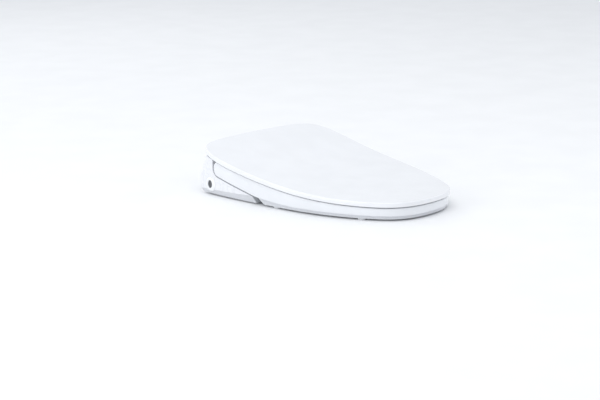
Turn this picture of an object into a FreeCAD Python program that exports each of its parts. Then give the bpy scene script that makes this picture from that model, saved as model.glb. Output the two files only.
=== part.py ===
"""Electric bidet seat: lid, heated seat ring, washing unit and the base plate that bolts to the toilet.

Millimetres. The origin is midway between the two mounting bolts, on the deck plane. +X is to the right as
seen from the front, the front of the seat points to -Y, and +Z is up. The rim of the bowl lies in the
plane Z = 0.
"""

import FreeCAD, Part
import math
import os
import re

import Sketcher

from FreeCAD import Placement, Rotation, Vector

SIZES = {
    # lid: plan outline and the slope of its upper edge, which rises towards the back
    "lid_front": -471, "lid_rear": 61, "lid_waist": 190, "lid_front_height": 42.4, "lid_rise": 67.5,
    "lid_sag": 86, "lid_skew": 4, "lid_band": 10.5, "lid_wall": 3, "lid_gap": 2, "lid_round": 2.2,
    # seat ring
    "seat_inset": 3.5, "seat_bottom": 4, "seat_wall": 3, "seat_recess": 5, "seat_band_bottom": 11,
    "hole_front": -408, "hole_rear": -128, "hole_half": 106, "bridge_rear": -55.5, "bumper_radius": 9,
    "screw_radius": 2, "screw_head": 4, "post_radius": 4.5,
    # hinge axes, both along X
    "seat_axis_y": -20, "seat_axis_z": 62, "arm_radius": 17, "arm_slope": 13.5, "arm_gap": 2.5,
    "arm_inside": 148.5, "lid_axis_y": 28, "lid_axis_z": 80, "seat_pin": 6, "lid_pin": 5, "running": 0.05,
    "lug_middle": 160, "lug_thick": 15, "lug_radius": 10,
    "damper_inner": 84, "damper_long": 44, "seat_damper": 10.5, "lid_damper": 9,
    # washing unit
    "unit_inset": 4, "unit_bottom": 3, "unit_rear": 36.5, "unit_tip": -129, "housing_half": 146, "shell": 2.5,
    "unit_widest": -30, "unit_taper": 0.00043, "housing_front": -53, "case_split": 13.5, "case_tilt": 0.04,
    "bevel_inset": 6, "face_gap": 0.3,
    # base plate, its rails and the two mounting bolts
    "bolt_gap": 140, "bolt_radius": 4, "bolt_thread": 3.6, "bolt_plain": 25.5, "bolt_reach": 72,
    "plate_half": 110, "plate_front": -38, "plate_rear": 30,
    "plate_thick": 4, "pad_thick": 1.5, "lip_thick": 2.2, "lip_width": 6, "plate_gap": 0.5, "slot_long": 24,
    "recess_top": 10, "rail_bottom": 0.6, "nut_top": -34, "nut_radius": 10,
    # washing wands, which slide forward and down
    "wand_radius": 4.5, "wand_pitch": 26, "wand_slope": 13.5, "wand_tip_y": -119, "wand_tip_z": 9.8,
    "wand_long": 154, "wand_cap": 24, "rack_start": 80, "rack_root": 3.1, "rack_line": 4.2, "rack_top": 4.8,
    "rack_wide": 5.2, "pinion_teeth": 12, "pinion_radius": 6, "pinion_place": 86, "pinion_wide": 4.6,
    "pinion_shaft": 1.5, "tooth_thick": 1.05, "motor_radius": 10, "motor_long": 14, "guide_half": 21,
    # warm-air dryer
    "duct_x": 57, "duct_half": 20, "duct_half_tall": 4.9, "fan_x": 62, "fan_y": -14, "fan_bottom": 18,
    "fan_tall": 24,
    "fan_radius": 26, "fan_shaft": 2, "blade_count": 16, "flap_thick": 1.5,
    # side button, water and power inlets
    "button_y": 6, "button_z": 25.5, "boss_radius": 16.5, "boss_proud": 3, "button_radius": 8.5,
    "inlet_x": 126, "inlet_z": 24, "inlet_radius": 10.48, "inlet_long": 14, "filter_x": 96, "filter_stem": 6,
    "gland_x": -126, "cord_radius": 3.6,
}

doc = FreeCAD.newDocument("electric_bidet_seat")
sheet = doc.addObject("Spreadsheet::Sheet", "Sizes")
for row, (alias, number) in enumerate(SIZES.items(), 1):
    sheet.set(f"A{row}", alias.replace("_", " "))
    sheet.set(f"B{row}", str(number))
    sheet.setAlias(f"B{row}", alias)
doc.recompute()


class Numbers:
    """The sheet's values by alias, for shapes that are worked out in code."""

    def __getattr__(self, alias):
        return float(sheet.get(alias))


size = Numbers()
nodes = []
UP = Vector(0, 0, 1)
BIG = 700


# ---- parametric helpers ----------------------------------------------------------------------------------

def formula(text):
    """An expression whose words are aliases of the sheet."""
    def named(word):
        return "Sizes." + word.group() if word.group() in SIZES else word.group()

    return re.sub(r"[a-z]\w*", named, str(text))


def bind(obj, **properties):
    for name, text in properties.items():
        obj.setExpression(name, formula(text))
    return obj


def put(obj, at, turn=Rotation()):
    obj.Placement = Placement(Vector(), turn)
    for axis, text in zip("xyz", at):
        obj.setExpression("Placement.Base." + axis, formula(text))
    return obj


def block(name, lengths, at, turn=Rotation()):
    """A box from its corner `at`."""
    box = doc.addObject("Part::Box", name)
    bind(box, Length=lengths[0], Width=lengths[1], Height=lengths[2])
    return put(box, at, turn)


TURNS = {
    "x": Rotation(Vector(0, 1, 0), 90), "-x": Rotation(Vector(0, 1, 0), -90),
    "y": Rotation(Vector(1, 0, 0), -90), "-y": Rotation(Vector(1, 0, 0), 90),
    "z": Rotation(), "-z": Rotation(Vector(1, 0, 0), 180),
}


def rod(name, radius, length, at, way="z"):
    cylinder = doc.addObject("Part::Cylinder", name)
    bind(cylinder, Radius=radius, Height=length)
    return put(cylinder, at, TURNS[way])


def cone(name, radius1, radius2, length, at, way="z"):
    made = doc.addObject("Part::Cone", name)
    bind(made, Radius1=radius1, Radius2=radius2, Height=length)
    return put(made, at, TURNS[way])


def fuse(name, *solids):
    made = doc.addObject("Part::MultiFuse", name)
    made.Shapes = list(solids)
    return made


def cut(name, solid, *tools):
    made = doc.addObject("Part::Cut", name)
    made.Base = solid
    made.Tool = tools[0] if len(tools) == 1 else fuse(name + "_tools", *tools)
    return made


def common(name, *solids):
    made = doc.addObject("Part::MultiCommon", name)
    made.Shapes = list(solids)
    return made


def group(name, *solids):
    made = doc.addObject("Part::Compound", name)
    made.Links = list(solids)
    return made


def mirrored(solid):
    """The same solid on the other side of the plane X = 0."""
    made = doc.addObject("Part::Mirroring", solid.Name + "_mirrored")
    made.Source = solid
    made.Normal = Vector(1, 0, 0)
    return made


def pair(name, solid):
    return group(name, solid, mirrored(solid))


def node(obj, label):
    """Names a finished sub-part, which is then written to its own file."""
    obj.Label = label
    nodes.append(obj)
    return obj


def feature(label, shape):
    """A sub-part whose shape is worked out from the sheet in code."""
    made = doc.addObject("Part::Feature", label)
    made.Shape = shape
    made.Placement = Placement()
    return node(made, label)


def plane(body, role):
    return next(item for item in body.Origin.OriginFeatures if item.Role == role)


def sketch_on(body, role, name, offset="0"):
    sketch = body.newObject("Sketcher::SketchObject", name)
    sketch.AttachmentSupport = [(plane(body, role), "")]
    sketch.MapMode = "FlatFace"
    sketch.setExpression("AttachmentOffset.Base.z", formula(offset))
    return sketch


def draw_rectangle(sketch, low, high):
    """A rectangle between two corners, each an (x, y) pair of expressions."""
    corners = [Vector(0, 0, 0), Vector(10, 0, 0), Vector(10, 10, 0), Vector(0, 10, 0)]
    first = sketch.GeometryCount
    for start, end in zip(corners, corners[1:] + corners[:1]):
        sketch.addGeometry(Part.LineSegment(start, end), False)
    rules = [Sketcher.Constraint("Coincident", first + i, 2, first + (i + 1) % 4, 1) for i in range(4)]
    rules += [Sketcher.Constraint("Horizontal", first + i) for i in (0, 2)]
    rules += [Sketcher.Constraint("Vertical", first + i) for i in (1, 3)]
    sketch.addConstraint(rules)
    for corner, point in ((low, 0), (high, 2)):
        for kind, text in zip(("DistanceX", "DistanceY"), corner):
            index = sketch.addConstraint(Sketcher.Constraint(kind, -1, 1, first + point, 1, 1.0))
            sketch.setExpression(f"Constraints[{index}]", formula(text))


def pad(body, sketch, length, name="Pad"):
    made = body.newObject("PartDesign::Pad", name)
    made.Profile = sketch
    made.setExpression("Length", formula(length))
    return made


def pocket(body, sketch, length, name="Pocket", reverse=False):
    made = body.newObject("PartDesign::Pocket", name)
    made.Profile = sketch
    made.Reversed = reverse
    made.setExpression("Length", formula(length))
    return made


# ---- shapes of the shells --------------------------------------------------------------------------------

def edge_height(y):
    """Height of the lid's upper edge at a place along the seat."""
    share = (y - size.lid_front) / (size.lid_rear - size.lid_front)
    middle = share * (1 - share)
    skew = size.lid_skew * middle * (1 - 2 * share)
    return size.lid_front_height + size.lid_rise * share - size.lid_sag * middle + skew


def under_lid(y):
    """Height of whatever closes up to the lid's lower edge."""
    return edge_height(y) - size.lid_band - size.lid_gap


def plan_poles():
    """Right half of the lid's outline from front to back: a blunt egg, widest near the back, square there."""
    front, rear, wide = size.lid_front, size.lid_rear, size.lid_waist
    return [
        Vector(0, front), Vector(73, front), Vector(125, front + 58), Vector(wide - 7, front + 198),
        Vector(wide, front + 376), Vector(wide + 10, rear - 13), Vector(wide - 60, rear), Vector(0, rear),
    ]


def plan_wire(inset):
    """The lid's outline, moved inwards."""
    poles = plan_poles()
    moved = []
    for i, pole in enumerate(poles):
        before = poles[i - 1] if i else Vector(-poles[1].x, poles[1].y)
        after = poles[i + 1] if i + 1 < len(poles) else Vector(-poles[-2].x, poles[-2].y)
        along = (after - before).normalize()
        moved.append(pole + Vector(-along.y, along.x) * inset)
    halves = []
    for side in (1, -1):
        curve = Part.BSplineCurve()
        points = [Vector(p.x * side, p.y) for p in moved]
        knots = list(range(len(points) - 2))
        curve.buildFromPolesMultsKnots(points, [4] + [1] * (len(knots) - 2) + [4], knots, False, 3)
        halves.append(curve.toShape())
    return Part.Wire(halves)


def plan_prism(inset, low=-50, high=200):
    return Part.Face(plan_wire(inset)).translate(Vector(0, 0, low)).extrude(Vector(0, 0, high - low))


def hole_prism(grow, low=-50, high=200):
    """The seat's opening: an egg, blunter at the back."""
    front, rear, wide = size.hole_front - grow, size.hole_rear + grow, size.hole_half + grow
    middle = rear - wide * 1.12
    halves = []
    for side in (1, -1):
        poles = [
            Vector(0, front), Vector(side * wide * 0.62, front), Vector(side * wide, middle - wide * 0.62),
            Vector(side * wide, middle), Vector(side * wide, middle + wide * 0.62),
            Vector(side * wide * 0.66, rear), Vector(0, rear),
        ]
        curve = Part.BSplineCurve()
        curve.buildFromPolesMultsKnots(poles, [4, 1, 1, 1, 4], [0, 1, 2, 3, 4], False, 3)
        halves.append(curve.toShape())
    return Part.Face(Part.Wire(halves)).translate(Vector(0, 0, low)).extrude(Vector(0, 0, high - low))


def profile(start, *steps):
    """A closed face in the YZ plane. A step is a point, an arc as (middle, end), or a spline as a list."""
    here = Vector(0, *start)
    edges = []
    for step in list(steps) + [start]:
        if isinstance(step, list):
            points = [here] + [Vector(0, *p) for p in step]
            curve = Part.BSplineCurve()
            curve.interpolate(points)
            edges.append(curve.toShape())
            here = points[-1]
        elif isinstance(step[0], tuple):
            middle, end = (Vector(0, *p) for p in step)
            edges.append(Part.Arc(here, middle, end).toShape())
            here = end
        else:
            end = Vector(0, *step)
            edges.append(Part.LineSegment(here, end).toShape())
            here = end
    return Part.Face(Part.Wire(edges))


def across(face, low=-BIG / 2, high=BIG / 2):
    """A profile face swept along X."""
    moved = face.copy()
    moved.translate(Vector(low, 0, 0))
    return moved.extrude(Vector(high - low, 0, 0))


def beam(low, high):
    """A box between two corners."""
    return Part.makeBox(*(b - a for a, b in zip(low, high)), Vector(*low))


def below(height, floor=-50):
    """Everything under a height that changes along the seat."""
    start, end, steps = size.lid_front - 20, size.lid_rear + 20, 12
    stations = [start + (end - start) * i / steps for i in range(steps + 1)]
    line = [(y, height(y)) for y in stations]
    return across(profile((start, floor), line[0], line[1:], (end, floor)))


def on_circle(radius, angle):
    """A point about the seat's axis; 0 degrees is to the back and 90 is up."""
    turn = math.radians(angle)
    return size.seat_axis_y + radius * math.cos(turn), size.seat_axis_z + radius * math.sin(turn)


def arm_line(y, radius):
    """Height of the sloping line that touches a circle about the seat's axis from below."""
    slope = math.radians(size.arm_slope)
    touch_y, touch_z = on_circle(radius, size.arm_slope - 90)
    return touch_z + (y - touch_y) * math.tan(slope)


def case_line(y):
    """Height of the joint between the lower case and what stands on it."""
    return size.case_split - size.case_tilt * y


def hinge_line(radius, y, z, reach=BIG / 2):
    """A cylinder along a hinge axis, the same length to both sides."""
    return Part.makeCylinder(radius, 2 * reach, Vector(-reach, y, z), Vector(1, 0, 0))


def both_sides(shape):
    return shape.fuse(shape.mirror(Vector(), Vector(1, 0, 0)))


def half_width(y, inset):
    """How far the outline, moved inwards, is from the middle at a place along the seat."""
    line = Part.LineSegment(Vector(1, y, 0), Vector(BIG, y, 0)).toShape()
    return plan_wire(inset).section(line).Vertexes[0].X


# ---- lid -------------------------------------------------------------------------------------------------

def lid_shell():
    """A shallow tray, open below, with a rounded upper edge."""
    block_shape = plan_prism(0).common(below(edge_height))
    block_shape = block_shape.cut(below(lambda y: edge_height(y) - size.lid_band))
    top_edges = [e for e in block_shape.Edges if e.Length > 100 and on_upper_edge(e)]
    block_shape = block_shape.makeFillet(size.lid_round, top_edges)
    wall = size.lid_wall
    return block_shape.cut(plan_prism(wall).common(below(lambda y: edge_height(y) - wall)))


def on_upper_edge(edge):
    middle = edge.valueAt((edge.FirstParameter + edge.LastParameter) / 2)
    return abs(middle.z - edge_height(middle.y)) < 0.5 and abs(middle.x) > 1


def lid_arms():
    """Two hinge arms that hang from the lid and turn on the lid's shafts."""
    y, z, radius, half = size.lid_axis_y, size.lid_axis_z, size.lug_radius, size.lug_thick / 2
    low, high = size.lug_middle - half, size.lug_middle + half
    eye = Part.makeCylinder(radius, high - low, Vector(low, y, z), Vector(1, 0, 0))
    neck = beam((low, y - radius, z), (high, y + radius, 150))
    foot = beam((low - 4, y - 16, 92), (high + 4, y + 22, 150))
    arm = eye.fuse(neck).fuse(foot.cut(below(lambda at: edge_height(at) - size.lid_wall - 3)))
    arm = arm.common(below(lambda at: edge_height(at) - size.lid_wall)).common(plan_prism(size.lid_wall + 1))
    return both_sides(arm.cut(hinge_line(size.lid_pin + size.running, y, z)))


BUMPERS_UNDER_LID = [(150, -190), (92, -410)]
SEAT_BUMPERS = [(169, -183), (118, -380)]
SEAT_SCREWS = [(150, -215), (136, -320), (60, -440), (126, -165)]
PANEL_SCREWS = [(x, z) for x in (-72, 72) for z in (19, 31)]


def lid_bumpers():
    pads = []
    for x, y in BUMPERS_UNDER_LID:
        pad_shape = Part.makeCylinder(6, 60, Vector(x, y, under_lid(y + 6) + 0.4))
        pads.append(pad_shape.common(below(lambda at: edge_height(at) - size.lid_wall)))
    return both_sides(Part.makeCompound(pads))


# ---- seat ring -------------------------------------------------------------------------------------------

def band_line():
    """Lower edge of the seat's side band, from the arm's underside forward to the level front."""
    level = size.seat_band_bottom
    start = (-124, arm_line(-124, size.arm_radius))
    return start, [(-160, level + 4.4), (-200, level + 1.4), (-240, level + 0.1)]


def seat_outer(inset, grow=0.0, skin=0.0):
    """The whole seat ring as one block. skin moves every face inwards."""
    radius = size.arm_radius - skin
    touch = on_circle(radius, size.arm_slope - 90)
    start, curve = band_line()
    underside = profile(
        (-BIG, size.seat_band_bottom + skin), (-240, size.seat_band_bottom + 0.1 + skin),
        [(y, z + skin) for y, z in reversed(curve[:-1])] + [(start[0], start[1] + skin * 1.05)],
        touch, (size.seat_axis_y, size.seat_axis_z + radius), (-BIG, size.seat_axis_z + radius))
    ring = across(underside).fuse(hinge_line(radius, size.seat_axis_y, size.seat_axis_z))
    ring = ring.common(plan_prism(inset + skin)).common(below(lambda y: under_lid(y) - skin))
    inside = size.arm_inside - skin
    housing = beam((-inside, size.bridge_rear - skin, -50), (inside, BIG, 200))
    return ring.cut(housing).cut(hole_prism(grow + skin))


def upright(x, y, radius, low=-10, high=200):
    return Part.makeCylinder(radius, high - low, Vector(x, y, low))


def seat_shell():
    """The part one sits on: a hollow ring, open below, with posts for its screws."""
    outer = seat_outer(size.seat_inset)
    inner = seat_outer(size.seat_inset, 0, size.seat_wall)
    opening = inner.translated(Vector(0, 0, -size.seat_wall * 1.6))
    opening = opening.common(beam((-BIG, -BIG, -50), (BIG, size.bridge_rear - 6, 200)))
    shell = outer.cut(inner).cut(opening)
    posts = [upright(x, y, size.post_radius, size.seat_bottom + size.seat_wall + 3.2) for x, y in SEAT_SCREWS]
    room = seat_outer(size.seat_inset, 0, 1).fuse(inner)
    shell = shell.fuse(both_sides(Part.makeCompound(posts)).common(room))
    threads = [upright(x, y, size.screw_radius, 0, 22) for x, y in SEAT_SCREWS]
    reach = half_width(size.seat_axis_y, size.seat_inset) - 4
    pins = hinge_line(size.seat_pin, size.seat_axis_y, size.seat_axis_z, reach)
    return shell.cut(both_sides(Part.makeCompound(threads))).cut(pins)


def seat_base():
    """The plate that closes the seat from below: a recessed tray whose rim stands inside the shell."""
    bottom, recess, wall = size.seat_bottom, size.seat_inset + size.seat_recess, size.seat_wall
    start = band_line()[0]
    lower = profile(
        (-BIG, bottom), (-152, bottom), (-131, start[1] - 1), (start[0] - 3, start[1]),
        (start[0] - 3, start[1] + 3), (-BIG, size.seat_band_bottom + 4))
    tray = across(lower).common(plan_prism(recess)).cut(hole_prism(recess))
    hollow = profile(
        (-BIG, bottom + wall), (-150, bottom + wall), (-134, start[1] + 1), (-134, start[1] + 20), (-BIG, 60))
    tray = tray.cut(across(hollow).common(plan_prism(recess + wall)).cut(hole_prism(recess + wall)))
    tray = tray.common(beam((-BIG, -BIG, 0), (BIG, start[0] - 3, 60)))
    holes = [upright(x, y, size.screw_radius + 0.2) for x, y in SEAT_SCREWS]
    heads = [upright(x, y, size.screw_head + 0.2, -10, bottom + 1.6) for x, y in SEAT_SCREWS]
    return tray.cut(both_sides(Part.makeCompound(holes + heads)))


def seat_heater():
    """Heating foil under the seat's top, in two halves' width on each side of the hole."""
    film = seat_outer(size.seat_inset, 0, size.seat_wall + 0.2)
    sheet_shape = film.cut(film.translated(Vector(0, 0, -0.6)))
    edge = size.seat_inset + size.seat_wall + 8
    keep = plan_prism(edge).cut(hole_prism(size.seat_wall + 8))
    keep = keep.common(beam((-BIG, -BIG, 20), (BIG, -150, 200)))
    posts = [upright(x, y, size.post_radius + 1) for x, y in SEAT_SCREWS]
    return sheet_shape.common(keep).cut(both_sides(Part.makeCompound(posts)))


# ---- washing unit: shells --------------------------------------------------------------------------------

def unit_back(top_y):
    """The back of the unit from its top down to the bevel: it leans forward above a small step."""
    rear = size.unit_rear
    return (top_y, under_lid(top_y)), (rear + 2, 38), (rear, 37), (rear, 8), (rear - 5, size.unit_bottom)


def wing_profile(skin=0.0):
    """Side view of the unit outside its housing: it wraps round the back of the seat's arm."""
    radius = size.arm_radius + size.arm_gap
    tip_top = (size.unit_tip + 8, arm_line(size.unit_tip + 8, radius))
    behind = size.seat_axis_y + radius
    face = profile(
        (size.unit_tip, size.unit_bottom), tip_top, on_circle(radius, size.arm_slope - 90),
        (on_circle(radius, -38), on_circle(radius, 0)), (behind, under_lid(behind)), *unit_back(22))
    return face.makeOffset2D(-skin) if skin else face


def housing_profile(skin=0.0):
    """Side view of the unit between the seat's arms."""
    radius, front = size.arm_radius + size.arm_gap, size.housing_front
    tip_top = (size.unit_tip + 8, arm_line(size.unit_tip + 8, radius))
    face = profile(
        (size.unit_tip, size.unit_bottom), tip_top, (front, arm_line(front, radius)),
        (front, under_lid(front)), *unit_back(22))
    return face.makeOffset2D(-skin) if skin else face


def unit_half(y, inset):
    """Half the unit's width. Behind its widest place the unit is squarer than the lid above it."""
    ahead = min(y, size.unit_widest)
    return half_width(ahead, inset) - size.unit_taper * (y - ahead) ** 2


def unit_prism(inset):
    """The unit's outline, moved inwards: the lid's outline with its rear corners squared."""
    stations = [size.unit_widest + 9 * i for i in range(11)]
    curve = Part.BSplineCurve()
    curve.interpolate([Vector(unit_half(y, inset), y) for y in stations])
    side = curve.toShape()
    corners = [v.Point for v in (side.Vertexes[1], side.Vertexes[0])]
    outline = Part.makePolygon([corners[0], Vector(0, corners[0].y), Vector(0, corners[1].y), corners[1]])
    rear = Part.Face(Part.Wire([side] + outline.Edges)).translate(Vector(0, 0, -50))
    rear = rear.extrude(Vector(0, 0, 250))
    return plan_prism(inset).fuse(both_sides(rear)).removeSplitter()


def above_case(gap):
    start, end = -200, 100
    return across(profile(
        (start, case_line(start) + gap), (end, case_line(end) + gap), (end, 200), (start, 200)))


def side_span(side, start):
    """Everything beyond a distance from the middle, on one side."""
    if side > 0:
        return beam((start, -BIG, -50), (BIG, BIG, 200))
    return beam((-BIG, -BIG, -50), (-start, BIG, 200))


def wing(side):
    """Outer side panel, with a slot behind for the lid's hinge arm. The button's side has a round hole."""
    outer = across(wing_profile()).common(unit_prism(size.unit_inset)).common(above_case(size.face_gap / 2))
    inner = across(wing_profile(size.shell)).common(unit_prism(size.unit_inset + size.shell))
    inner = inner.fuse(inner.translated(Vector(0, 0, -size.shell * 1.5)))
    start, room = size.housing_half + size.face_gap, size.lug_thick / 2 + 3
    shell = outer.cut(inner).common(side_span(side, start))
    slot = beam((size.lug_middle - room, size.lid_axis_y - 15, 66), (size.lug_middle + room, 60, 120))
    shaft_room = hinge_line(size.lid_pin + 1, size.lid_axis_y, size.lid_axis_z)
    shell = shell.cut(both_sides(slot)).cut(shaft_room)
    return shell.cut(boss_room()) if side < 0 else shell


def boss_room():
    """The round hole for the button's boss, with a shallow seat for its flange."""
    face = unit_half(size.button_y, size.unit_inset)
    start = Vector(-BIG / 3, size.button_y, size.button_z)
    hole = Part.makeCylinder(size.boss_radius - 1.5, BIG / 3 - face + 30, start, Vector(1, 0, 0))
    return hole.fuse(Part.makeCylinder(size.boss_radius + 0.1, BIG / 3 - face + 0.1, start, Vector(1, 0, 0)))


def wand_x():
    return size.wand_pitch / 2


def tip_openings():
    """The ways out of the unit's front tip for the wands and the warm air."""
    reach = size.wand_radius + 1.5
    wands = beam((-wand_x() - reach, -140, 0), (wand_x() + reach, -108, 40))
    half = size.duct_half + 0.5
    duct = beam((size.duct_x - half, -140, 3.5), (size.duct_x + half, -108, 40))
    return wands.fuse(duct)


def back_ports():
    """Holes in the back wall for the water inlet, the filter and the cord's gland."""
    places = [(size.inlet_x, 11), (size.filter_x, 8), (size.gland_x, 9)]
    ports = [Part.makeCylinder(radius, 30, Vector(x, 20, size.inlet_z), Vector(0, 1, 0))
             for x, radius in places]
    return ports[0].fuse(ports[1:])


def upper_cover():
    half, wall = size.housing_half, size.shell
    outer = across(housing_profile(), -half, half).common(above_case(size.face_gap / 2))
    inner = across(housing_profile(wall), wall - half, half - wall)
    cover = outer.cut(inner.fuse(inner.translated(Vector(0, 0, -wall * 1.5))))
    cover = cover.fuse(damper_barrels(size.lid_damper + 2.2, 2))
    cover = cover.cut(damper_barrels(size.lid_damper + 0.1, 0.1))
    cover = cover.cut(hinge_line(size.seat_pin + size.running, size.seat_axis_y, size.seat_axis_z))
    cover = cover.cut(hinge_line(size.lid_pin + size.running, size.lid_axis_y, size.lid_axis_z))
    pilots = [Part.makeCylinder(1.6, 9, Vector(x, size.unit_rear - 6, z), Vector(0, 1, 0))
              for x, z in PANEL_SCREWS]
    return cover.cut(tip_openings()).cut(back_ports()).cut(Part.makeCompound(pilots))


def damper_barrels(radius, beyond):
    """Cylinders round the two lid dampers, which stand out of the cover's back."""
    start = Vector(size.damper_inner - beyond, size.lid_axis_y, size.lid_axis_z)
    return both_sides(Part.makeCylinder(radius, size.damper_long + 2 * beyond, start, Vector(1, 0, 0)))


def bevels():
    """What is cut away to slope the lower case's sides inwards towards the bottom."""
    stations = [-170 + 23 * i for i in range(11)]
    lines = []
    for inset in (0, size.bevel_inset):
        points = []
        for y in stations:
            height = size.unit_bottom - 1 if inset else case_line(y)
            points.append(Vector(unit_half(y, size.unit_inset) - inset, y, height))
        curve = Part.BSplineCurve()
        curve.interpolate(points)
        lines.append(curve.toShape())
    return both_sides(Part.makeRuledSurface(*lines).extrude(Vector(30, 0, 0)))


def lower_case():
    """Bottom tray of the unit, with a raised tunnel that slides over the base plate on two rails."""
    wall = size.shell
    outer = across(wing_profile()).common(unit_prism(size.unit_inset))
    outer = outer.cut(above_case(-size.face_gap / 2)).cut(bevels())
    inner = across(wing_profile(wall)).common(unit_prism(size.unit_inset + wall + size.bevel_inset))
    tray = outer.cut(inner.fuse(inner.translated(Vector(0, 0, 5))))
    gap, rear = size.plate_gap, 60
    half, front, top = size.plate_half + 2 * gap, size.plate_front - 2, size.recess_top
    side = half + wall
    lining = beam((-side, front - wall, size.unit_bottom), (side, size.unit_rear - 1, top + wall))
    lining = lining.cut(above_case(-size.face_gap / 2))
    tray = tray.fuse(lining).cut(beam((-half, front, -5), (half, rear, top)))
    rail_top = size.pad_thick + size.plate_thick - size.lip_thick - gap
    start, end = front - wall, size.unit_rear - 3
    rail = beam((half - size.lip_width + gap, start, size.rail_bottom), (side, end, rail_top))
    web = beam((half, start, size.rail_bottom), (side, end, size.unit_bottom + wall))
    return tray.fuse(both_sides(rail.fuse(web))).cut(tip_openings()).cut(boss_room())


# ---- washing unit: mechanism -----------------------------------------------------------------------------

def along_wand(place, height=0.0):
    """A point in the YZ plane: place is measured back from the wand's tip, height square to the wand."""
    turn = math.radians(size.wand_slope)
    return (size.wand_tip_y + place * math.cos(turn) - height * math.sin(turn),
            size.wand_tip_z + place * math.sin(turn) + height * math.cos(turn))


def wand_bar(x_low, x_high, start, end, low, high):
    """A bar along the wand's direction, given in the wand's own measures."""
    corners = [along_wand(start, low), along_wand(end, low), along_wand(end, high), along_wand(start, high)]
    return across(profile(*corners), x_low, x_high)


def wand_rod(x, start, end, radius):
    begin, finish = Vector(x, *along_wand(start)), Vector(x, *along_wand(end))
    return Part.makeCylinder(radius, end - start, begin, finish - begin)


def wand(x):
    """A round rod with a rack cut into its top."""
    body = wand_rod(x, size.wand_cap, size.wand_long, size.wand_radius)
    half, step = size.rack_wide / 2, math.pi * 2 * size.pinion_radius / size.pinion_teeth
    body = body.cut(wand_bar(x - half, x + half, size.rack_start, size.wand_long + 1, size.rack_root, 9))
    flank = math.tan(math.radians(20))
    foot = size.tooth_thick / 2 + (size.rack_line - size.rack_root + 0.1) * flank
    crest = size.tooth_thick / 2 - (size.rack_top - size.rack_line) * flank
    teeth = []
    middle = size.pinion_place - 0.5 * step
    while middle + foot < size.wand_long:
        corners = [(middle - foot, size.rack_root - 0.1), (middle + foot, size.rack_root - 0.1),
                   (middle + crest, size.rack_top), (middle - crest, size.rack_top)]
        teeth.append(across(profile(*(along_wand(*corner) for corner in corners)), x - half, x + half))
        middle += step
    return body.fuse(teeth)


def wand_tip(x, jets):
    """The wand's spray head: a rounded cap with jets on its upper side."""
    head = wand_rod(x, 0, size.wand_cap, size.wand_radius)
    head = head.makeFillet(2, [e for e in head.Edges if e.BoundBox.YMax < size.wand_tip_y + 3])
    for jet in jets:
        place = Vector(x, *along_wand(jet, 1))
        upwards = Vector(0, *along_wand(jet, 2)) - Vector(0, *along_wand(jet, 1))
        head = head.cut(Part.makeCylinder(0.7, 8, place, upwards))
    return head


def pinion(side):
    """A spur gear with its own shaft, which runs in the motor."""
    x, half, count = side * wand_x(), size.pinion_wide / 2, int(size.pinion_teeth)
    centre = Vector(x - half, *along_wand(size.pinion_place, size.rack_line + size.pinion_radius))
    root, crest = size.pinion_radius - 0.9, size.pinion_radius + 0.6
    gear = Part.makeCylinder(root, 2 * half, centre, Vector(1, 0, 0))
    foot, top = size.tooth_thick / 2 + 0.35, size.tooth_thick / 2 - 0.22
    corners = [Vector(0, -foot, -root + 0.3), Vector(0, foot, -root + 0.3), Vector(0, top, -crest),
               Vector(0, -top, -crest)]
    tooth = Part.Face(Part.makePolygon(corners + corners[:1])).extrude(Vector(2 * half, 0, 0))
    tooth.rotate(Vector(), Vector(1, 0, 0), size.wand_slope)
    tooth.translate(centre)
    for i in range(count):
        gear = gear.fuse(tooth.rotated(centre, Vector(1, 0, 0), 360 * i / count))
    shaft = Part.makeCylinder(size.pinion_shaft, 14, Vector(x, centre.y, centre.z), Vector(side, 0, 0))
    return gear.fuse(shaft)


def wand_guide():
    """Trough for both wands, with a bracket on each side that carries a motor."""
    half = size.guide_half
    block_shape = wand_bar(-half, half, 14, 150, -6, 1)
    bracket = beam((half - 2, -46, 24), (half, -28, 50))
    block_shape = block_shape.fuse(both_sides(bracket))
    for side in (-1, 1):
        block_shape = block_shape.cut(wand_rod(side * wand_x(), -5, 160, size.wand_radius + 0.3))
    y, z = along_wand(size.pinion_place, size.rack_line + size.pinion_radius)
    return block_shape.cut(hinge_line(size.pinion_shaft + 1, y, z))


def wand_motor(side):
    y, z = along_wand(size.pinion_place, size.rack_line + size.pinion_radius)
    start = side * size.guide_half
    can = Part.makeCylinder(size.motor_radius, size.motor_long, Vector(start, y, z), Vector(side, 0, 0))
    bore = Part.makeCylinder(size.pinion_shaft + size.running, 8, Vector(start, y, z), Vector(side, 0, 0))
    return can.cut(bore)


def duct():
    """Rectangular air duct from the fan to the front tip."""
    low, high, tall = size.duct_x - size.duct_half, size.duct_x + size.duct_half, size.duct_half_tall
    outer = wand_bar(low, high, 4, 76, 0.6 - tall, 0.6 + tall)
    return outer.cut(wand_bar(low + 1.2, high - 1.2, 0, 80, 1.8 - tall, tall - 0.6))


def fan_housing():
    """Round fan case with its inlet below and a spout that meets the duct."""
    x, y, bottom, tall, wall = size.fan_x, size.fan_y, size.fan_bottom, size.fan_tall, 2
    end_y, end_z = along_wand(76.3, 0.6)
    low, high = size.duct_x - size.duct_half, size.duct_x + size.duct_half
    spout = beam((low, end_y, bottom), (high, y, bottom + tall - 8))
    case = upright(x, y, size.fan_radius, bottom, bottom + tall).fuse(spout)
    room = upright(x, y, size.fan_radius - wall, bottom + wall, bottom + tall - wall)
    air = beam((low + 1.2, end_y - 1, end_z - 3.4), (high - 1.2, y, end_z + 3.4))
    case = case.cut(room).cut(air).cut(wand_bar(low - 0.1, high + 0.1, 60, 76.2, -6, 8))
    case = case.cut(upright(x, y, 12, bottom - 1, bottom + 3))
    return case.cut(upright(x, y, size.fan_shaft + 0.6, bottom + 5, 90))


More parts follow.
